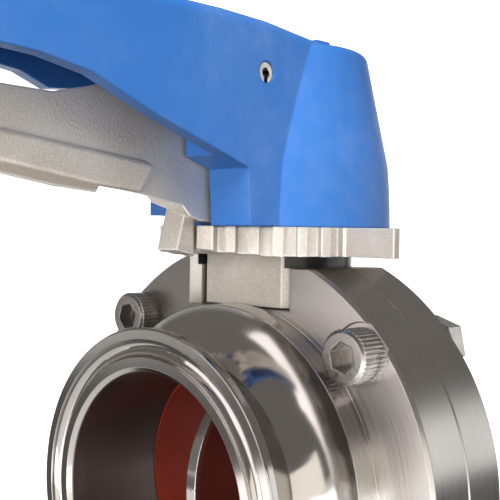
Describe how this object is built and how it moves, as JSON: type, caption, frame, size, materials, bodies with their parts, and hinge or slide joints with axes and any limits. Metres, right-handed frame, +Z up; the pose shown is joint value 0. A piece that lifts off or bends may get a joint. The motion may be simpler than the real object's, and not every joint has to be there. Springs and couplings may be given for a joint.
{
  "type": "butterfly valve",
  "caption": "Sanitary butterfly valve with clamp ferrules, a bolted two-part steel body, a red seat and a blue lever handle that locks in a toothed plate.",
  "frame": {"origin": "where the stem axis crosses the pipe axis, at the middle of the body", "axes": "+Y along the pipe towards the end away from the handle's grip, +Z up along the stem to the handle, +X to the right of the pipe; the handle points along -Y, fully open, at rest"},
  "size_m": [0.0948, 0.1845, 0.1369],
  "materials": {
    "body_steel": "machined and polished",
    "disc_steel": "polished",
    "cast_steel": "bead-blasted casting",
    "screw_steel": "plain, slightly dull",
    "pin_steel": "plain",
    "spring_steel": "drawn wire",
    "seat_silicone": "matte orange-red silicone",
    "bush_ptfe": "matte",
    "seal_rubber": "matte",
    "collar_black": "satin",
    "handle_blue": "satin moulded nylon"
  },
  "bodies": {
    "valve_body": {"front_body_half": "body_steel", "rear_body_half": "body_steel", "seat_ring": "seat_silicone", "upper_stem_bush": "bush_ptfe", "lower_stem_bush": "bush_ptfe", "stem_seals": "seal_rubber", "stem_collar": "collar_black", "index_plate": "cast_steel", "body_screws": "screw_steel", "body_washers": "screw_steel", "body_nuts": "screw_steel"},
    "handle": {"disc_and_stem": "disc_steel", "handle_shell": "handle_blue", "drive_insert": "cast_steel", "handle_washer": "screw_steel", "handle_screw": "screw_steel", "cap_plug": "handle_blue", "pivot_pin": "pin_steel", "return_spring": "spring_steel"},
    "trigger": {"lever": "cast_steel"}
  },
  "joints": [
    {"name": "handle_turn", "type": "hinge", "parent": "valve_body", "child": "handle", "pos_m": [0, 0, 0], "axis": [0, 0, -1], "range_deg": [0, 90]},
    {"name": "lever_squeeze", "type": "hinge", "parent": "handle", "child": "trigger", "pos_m": [0, -0.0211, 0.0792], "axis": [-1, 0, 0], "range_deg": [-2.4, 6.5], "stiffness_Nm_per_rad": 0.6, "springref_deg": -17.19, "deforming": ["return_spring"]}
  ]
}
